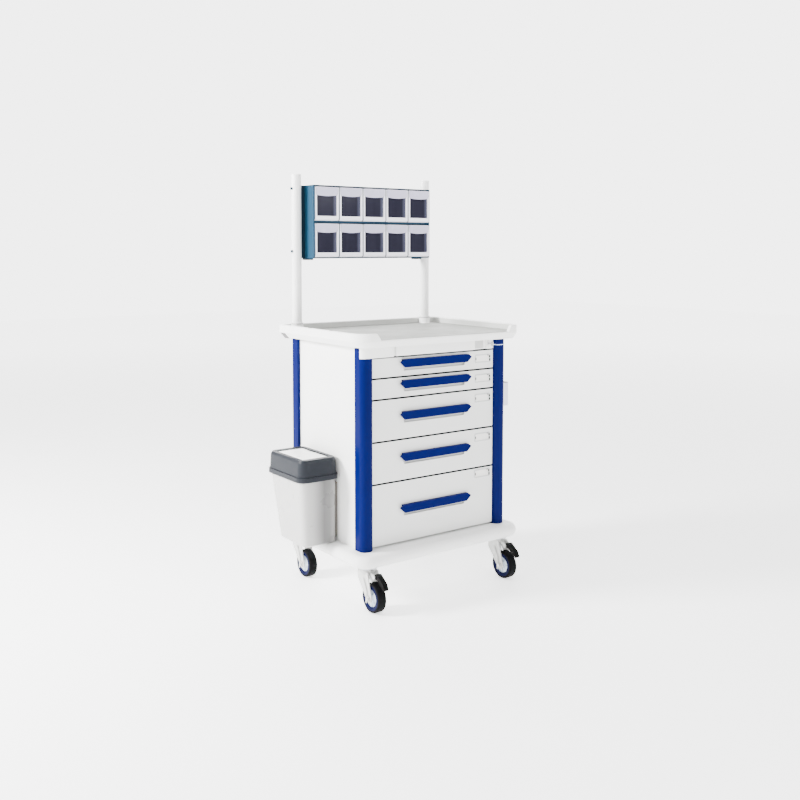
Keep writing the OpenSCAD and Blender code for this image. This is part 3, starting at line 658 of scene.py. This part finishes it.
def waste_bin_trim():
    """A bulging cover on the flap and a raised grip on the front of the lid."""
    low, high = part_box("waste_lid")
    flap_low, flap_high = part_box("waste_flap")
    centre = (flap_low + flap_high) / 2
    bm = bmesh.new()
    depth = flap_high.y - flap_low.y - FLAP_SHORTER
    place = Vector((centre.x, centre.y, high.z - FLAP_SINK))
    pillow(bm, flap_high.x - flap_low.x, depth, FLAP_RISE, place)
    add_piece("flap_cover", bm, "flap", MATERIALS["flap_white"])
    bm = bmesh.new()
    grip = round_outline(34 * MM, 12 * MM, 5 * MM)
    prism(bm, grip, (centre.x, low.y + 9.5 * MM, low.z + 34 * MM), X, Z, -0.9 * MM * Y)
    add_piece("lid_grip", bm, "cart", MATERIALS["lid_grey"], 0.3 * MM)


# ---------------------------------------------------------------- casters


FRONT_ENDS = ("fl", "fr")

# Points of (along Y, up) in millimetres, from the swivel pin: the ridge on a fork's arm and the brake's link
FORK_RIDGE = ((-26, 34), (-32, 34), (-30, 78), (-10, 116), (-5, 112), (-24, 76))
BRAKE_LINK = ((-26, 122), (-47, 104), (-50, 108), (-44, 118), (-30, 130), (-24, 130))
HUB_RIBS = 8
NUT_RADIUS = 6.5 * MM
CROWN_Z = 139 * MM


def scaled(points):
    return [(a * MM, b * MM) for a, b in points]


def wheel_side(end, side, centre, width, outer):
    """A coloured ring and the hub's ribs on one side of a wheel."""
    mark = f"{end}_{'l' if side < 0 else 'r'}"
    wheel = f"wheel_{end}"
    face = centre + side * (width / 2 - 3.2 * MM) * X
    bm = bmesh.new()
    rise = ((21, 0), (20, 1.6), (14, 2.6), (8.5, 3.1), (7.5, 2.2), (7.5, 0))
    lathe(bm, [(outer - inward * MM, up * MM) for inward, up in rise], face, side * X)
    add_piece(f"wheel_ring_{mark}", bm, wheel, EXTRA["navy"])
    bm = bmesh.new()
    start, end_at, half = 14 * MM, outer - 20 * MM, 1.2 * MM
    outline = [(start, -half), (end_at, -half), (end_at, half), (start, half)]
    for rib in range(HUB_RIBS):
        angle = 2 * math.pi * rib / HUB_RIBS
        out = Vector((0, math.cos(angle), math.sin(angle)))
        along = Vector((0, -math.sin(angle), math.cos(angle)))
        prism(bm, outline, centre + side * 8 * MM * X, out, along, side * 4 * MM * X)
    add_piece(f"hub_ribs_{mark}", bm, wheel, MATERIALS["hub_white"], 0.5 * MM)


def caster_details(end):
    """Wheel rings and ribs, axle nuts, a dust ring, fork ridges and the front casters' brake links."""
    low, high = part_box(f"wheel_tyre_{end}")
    centre = (low + high) / 2
    for side in (-1, 1):
        wheel_side(end, side, centre, high.x - low.x, (high.z - low.z) / 2)
    fork = f"caster_{end}"
    fork_low, fork_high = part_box(f"caster_fork_{end}")
    bm = bmesh.new()
    turns = [math.radians(60 * k) for k in range(6)]
    nut = [(NUT_RADIUS * math.cos(turn), NUT_RADIUS * math.sin(turn)) for turn in turns]
    for side in (-1, 1):
        tip = fork_high.x if side > 0 else fork_low.x
        prism(bm, nut, (tip - side * 0.3 * MM, centre.y, centre.z), Y, Z, side * 1.2 * MM * X)
    add_piece(f"axle_nuts_{end}", bm, fork, EXTRA["screw"], 0.5 * MM)
    swivel = next(j for j in frame["joints"] if j["name"] == f"caster_{end}_swivel")
    pin = Vector(((fork_low.x + fork_high.x) / 2, Vector(swivel["pos_m"]).y, 0))
    bm = bmesh.new()
    ring_in, ring_out, foot, head = 24 * MM, 29 * MM, CROWN_Z + 0.1 * MM, CROWN_Z + 1.7 * MM
    lathe(bm, [(ring_in, foot), (ring_out, foot), (ring_out, head), (ring_in, head)], pin, Z)
    add_piece(f"dust_ring_{end}", bm, fork, EXTRA["dark"])
    bm = bmesh.new()
    for side in (-1, 1):
        face = fork_high.x - 4 * MM if side > 0 else fork_low.x + 4 * MM
        place = (face, pin.y, centre.z - 50 * MM)
        prism(bm, scaled(FORK_RIDGE), place, Y, Z, side * 1.1 * MM * X)
    add_piece(f"fork_ridges_{end}", bm, fork, MATERIALS["fork_grey"], 0.5 * MM)
    if end in FRONT_ENDS:
        bm = bmesh.new()
        for side in (-1, 1):
            place = (pin.x + side * 16.5 * MM, pin.y, 0)
            prism(bm, scaled(BRAKE_LINK), place, Y, Z, side * 1.6 * MM * X)
        add_piece(f"brake_link_{end}", bm, fork, EXTRA["screw"], 0.4 * MM)


PEDAL_RIDGES = 5


def pedal_ridges(end):
    """Grip ridges along the pedal's sloping top."""
    low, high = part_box(f"brake_pedal_{end}")
    bm = bmesh.new()
    start = Vector((0, low.y + 10 * MM, low.z + 17 * MM))
    end_point = Vector((0, low.y + 41 * MM, low.z + 43.5 * MM))
    slope = (end_point - start).normalized()
    out = Vector((0, -slope.z, slope.y))
    section = scaled([(0, -0.5), (2.2, -0.5), (1.7, 1.3), (0.5, 1.3)])
    inset = 1.5 * MM
    for ridge in range(PEDAL_RIDGES):
        place = start.lerp(end_point, (ridge + 0.3) / PEDAL_RIDGES)
        origin = (low.x + inset, place.y, place.z)
        prism(bm, section, origin, slope, out, (high.x - low.x - 2 * inset) * X)
    add_piece(f"pedal_ridges_{end}", bm, f"brake_{end}", EXTRA["pedal_grip"], 0.3 * MM)


def make_casters():
    for end in (*FRONT_ENDS, "rl", "rr"):
        caster_details(end)
    for end in FRONT_ENDS:
        pedal_ridges(end)


# ---------------------------------------------------------------- worktop and cabinet trim


TRAY_DEPTH = 22 * MM
RIM = 13 * MM
FRONT_CORNER = 72 * MM
BACK_CORNER = 8 * MM
LOW_EDGE_HALF = 293 * MM
MAT_FRONT_HALF, MAT_FRONT, MAT_CLEAR = 286 * MM, 3 * MM, 1.5 * MM
BOSS_IN, BOSS_FORWARD = 78 * MM, 36 * MM


def arc(centre_x, centre_y, radius, start, sweep, steps, first=0):
    """Points round part of a circle, from the first step to the last."""
    points = []
    for step in range(first, steps + 1):
        angle = math.radians(start + sweep * step / steps)
        points.append((centre_x + radius * math.cos(angle), centre_y + radius * math.sin(angle)))
    return points


def mirrored(right):
    """An outline from its right half."""
    return right + [(-x, y) for x, y in reversed(right)]


def mat_edge(low, high, inset):
    """The tray's inner outline from one end of the low front edge round the back to the other."""
    half = (high.x - low.x) / 2 - RIM - inset
    front, back = low.y + RIM + inset, high.y - RIM - inset
    corner = FRONT_CORNER - RIM - inset
    right = [(LOW_EDGE_HALF, front)] + arc(half - corner, front + corner, corner, -90, 90, 10, 3)
    return mirrored(right + [(half, back - BACK_CORNER), (half - BACK_CORNER, back)])


def worktop_mat():
    """A thin grey mat in the tray, cut back round the two pole bosses, and a lining round its walls, lighter than
    the mat as painted light, since the walls face a dimmer part of the room.
    """
    low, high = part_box("worktop")
    middle = (low.x + high.x) / 2
    half = (high.x - low.x) / 2 - RIM - MAT_CLEAR
    front, back = low.y + MAT_FRONT, high.y - RIM - MAT_CLEAR
    corner = FRONT_CORNER - RIM
    boss_x, boss_y = half - BOSS_IN, back - BOSS_FORWARD
    right = [(MAT_FRONT_HALF, front)]
    right += arc(half - corner, low.y + RIM + MAT_CLEAR + corner, corner, -90, 90, 8)
    right += [(half, boss_y), (boss_x, boss_y), (boss_x, back)]
    bm = bmesh.new()
    prism(bm, mirrored(right), (middle, 0, high.z - TRAY_DEPTH), X, Y, 0.8 * MM * Z)
    add_piece("worktop_mat", bm, "cart", EXTRA["mat"], 0.3 * MM)
    bm = bmesh.new()
    wall = mat_edge(low, high, 0.15 * MM) + mat_edge(low, high, 1.3 * MM)[::-1]
    prism(bm, wall, (middle, 0, high.z - TRAY_DEPTH + 0.9 * MM), X, Y, (TRAY_DEPTH - 4 * MM) * Z)
    add_piece("tray_lining_painted_light", bm, "cart", EXTRA["mat_wall_painted_light"])


APRON_SHADOW_HALF = 172 * MM
CORNER_SHADE_LONG = 30 * MM

# The section in millimetres of the dark piece under each rear corner, painted shade under the worktop's skirt:
# inwards from the worktop's side, and up from the floor
CORNER_SHADE_SECTION = ((-3.5, 899.5), (14, 879.5), (19, 884), (1, 904))


def worktop_trim():
    """Two plugs on the left rim, a dark strip under the apron, which is the apron's painted shadow, and a dark
    piece under each rear corner, which is painted shade under the worktop's skirt.
    """
    low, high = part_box("worktop")
    bm = bmesh.new()
    plug = round_outline(6 * MM, 20 * MM, 2.8 * MM)
    for y in (low.y + 190 * MM, low.y + 330 * MM):
        prism(bm, plug, (low.x + RIM / 2, y, high.z - 0.8 * MM), X, Y, 1.6 * MM * Z)
    add_piece("rim_plugs", bm, "cart", EXTRA["bracket"])
    # A dark strip under the apron: painted shadow of the apron above the first drawer.
    bm = bmesh.new()
    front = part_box("drawer_front_1")[0].y
    middle = (low.x + high.x) / 2
    section = scaled([(0.5, 0), (9, 0), (9, -2.2), (0.5, -1.4)])
    place = (middle - APRON_SHADOW_HALF, front, low.z - 0.1 * MM)
    prism(bm, section, place, -Y, Z, 2 * APRON_SHADOW_HALF * X)
    add_piece("apron_shadow_strip", bm, "cart", EXTRA["shade_strip"], 0.3 * MM)
    # Dark grey pieces under the rear corners: painted shade under the worktop's sloping skirt.
    bm = bmesh.new()
    for side in (-1, 1):
        corner = Vector((low.x if side < 0 else high.x, high.y, 0)) + Vector((-side * 5 * MM, -12 * MM, 0))
        prism(bm, scaled(CORNER_SHADE_SECTION), corner - CORNER_SHADE_LONG * Y, -side * X, Z, CORNER_SHADE_LONG * Y)
    add_piece("corner_shade_pieces", bm, "cart", EXTRA["bracket"], 0.8 * MM)


RING_LEFT, RING_RIGHT, RING_PROUD, RING_HUB = 21 * MM, 22 * MM, 0.7 * MM, 24 * MM
RING_DROP, RING_TALL, RING_SHRINK = 27 * MM, 2.6 * MM, 0.12


def column_highlight_ring():
    """A light band round the front of the right column, under its domed end: a painted highlight on the lit lower
    lip of the column's cap.
    """
    low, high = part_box("front_column_right")
    bm = bmesh.new()
    loop = arc(low.x + RING_LEFT, low.y + RING_LEFT, RING_LEFT + RING_PROUD, 180, 90, 10)
    loop += arc(high.x - RING_RIGHT, low.y + RING_RIGHT, RING_RIGHT + RING_PROUD, 270, 90, 10)
    hub_x, hub_y = low.x + RING_HUB, low.y + RING_HUB
    inside = [(x + (hub_x - x) * RING_SHRINK, y + (hub_y - y) * RING_SHRINK) for x, y in loop]
    prism(bm, loop + inside[::-1], (0, 0, high.z - RING_DROP), X, Y, RING_TALL * Z)
    add_piece("column_highlight_ring", bm, "cart", EXTRA["highlight_blue"], 0.3 * MM)


def rail_plate():
    """A thin grey piece on the rail beside the lock, painted shade for the shadowed recess there."""
    low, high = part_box("top_rail")
    lock_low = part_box("lock_barrel")[0]
    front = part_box("drawer_front_1")[0].y
    bm = bmesh.new()
    wide, tall = 46 * MM, high.z - low.z - 6 * MM
    middle = (lock_low.x - 36 * MM, front, (low.z + high.z) / 2)
    prism(bm, round_outline(wide, tall, 2 * MM), middle, X, Z, -1.2 * MM * Y)
    add_piece("rail_plate", bm, "cart", EXTRA["plate"], 0.4 * MM)


def pole_seals():
    """A dark ring round each pole's collar."""
    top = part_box("worktop")[1].z
    for side in ("left", "right"):
        low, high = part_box(f"pole_{side}")
        centre = ((low.x + high.x) / 2, (low.y + high.y) / 2, top + 0.2 * MM)
        bm = bmesh.new()
        lathe(bm, scaled([(20.5, 0), (22.3, 0), (22.3, 1.6), (20.5, 1.9)]), centre, Z)
        add_piece(f"pole_seal_{side}", bm, "cart", EXTRA["bracket"])


def rail_end():
    """The rail's right end cover, outside the right column."""
    low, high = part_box("front_column_right")
    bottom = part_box("top_rail")[0].z
    bm = bmesh.new()
    inner, outer, back = high.x + 0.4 * MM, high.x + 4 * MM, high.y - 1 * MM
    outline = [(inner, low.y + 20 * MM), (outer, low.y + 23 * MM), (outer, back), (inner, back)]
    prism(bm, outline, (0, 0, bottom), X, Y, (high.z - bottom - 0.3 * MM) * Z)
    add_piece("rail_end", bm, "cart", MATERIALS["rail_white"], 0.8 * MM)


def lock_key():
    """A small key in the lock, with a round bow."""
    low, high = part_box("lock_barrel")
    middle = (low + high) / 2
    bm = bmesh.new()
    blade = scaled([(-0.8, -3), (0.8, -3), (0.8, 3), (-0.8, 3)])
    prism(bm, blade, (middle.x, low.y + 3 * MM, middle.z), X, Z, -11 * MM * Y)
    bow = round_outline(15 * MM, 17 * MM, 6 * MM, 5, (-13 * MM, 0))
    prism(bm, bow, (middle.x - 1 * MM, low.y, middle.z), Y, Z, 2 * MM * X)
    add_piece("lock_key", bm, "lock", EXTRA["screw"], 0.4 * MM)


HOLDER_MOUTH = 62 * MM


def holder_shade_line():
    """A grey line round the mouth of the side holder: painted shade where its opening falls into shadow."""
    low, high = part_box("side_holder")
    width, depth = high.y - low.y, HOLDER_MOUTH
    middle = Vector((high.x - depth / 2, (low.y + high.y) / 2, high.z - 2 * MM))
    bm = bmesh.new()
    outer = round_outline(depth + 1 * MM, width + 1 * MM, 1 * MM)
    inner = round_outline(depth - 5 * MM, width - 5 * MM, 1 * MM)
    frame_ring(bm, outer, inner, middle, X, Y, 1.8 * MM * Z)
    add_piece("holder_mouth_shade", bm, "cart", EXTRA["bracket"], 0.3 * MM)


def back_screws():
    """Nine screws round and across the back panel."""
    low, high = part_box("back_panel")
    bm = bmesh.new()
    for x in (low.x + 14 * MM, (low.x + high.x) / 2, high.x - 14 * MM):
        for z in (low.z + 20 * MM, (low.z + high.z) / 2, high.z - 20 * MM):
            screw_head(bm, (x, high.y, z), Y)
    add_piece("back_screws", bm, "cart", EXTRA["screw"])


def make_trim():
    worktop_mat()
    worktop_trim()
    column_highlight_ring()
    rail_end()
    rail_plate()
    pole_seals()
    lock_key()
    holder_shade_line()
    waste_bin_trim()
    back_screws()


# ---------------------------------------------------------------- floor


FLOOR_HALF = 14.0


def make_floor():
    """A pale floor that glows more with distance, to meet the bright wall without an edge."""
    mesh = bpy.data.meshes.new("floor")
    corners = [(-1, -1), (1, -1), (1, 1), (-1, 1)]
    mesh.from_pydata([(x * FLOOR_HALF, y * FLOOR_HALF, 0) for x, y in corners], [], [(0, 1, 2, 3)])
    floor = bpy.data.objects.new("floor", mesh)
    shader = Shader("floor", 0.6, Emission_Color=(1.0, 1.0, 1.0, 1.0))
    distance = shader.tree.nodes.new("ShaderNodeVectorMath")
    distance.operation = "LENGTH"
    shader.tree.links.new(shader.place, distance.inputs[0])
    shader.feed("Emission Strength", shader.spread(distance.outputs["Value"], 1.3, 2.9, 1.5, 9.0))
    stops = [(0.3, (0.93, 0.93, 0.93)), (0.7, (0.95, 0.95, 0.95))]
    shader.feed("Base Color", shader.ramp(shader.noise(3.0), stops))
    mesh.materials.append(shader.material)
    bpy.context.scene.collection.objects.link(floor)


make_camera()
make_lights()
make_world()
finish_frame()
make_drawers()
make_bins()
make_casters()
make_trim()
make_floor()
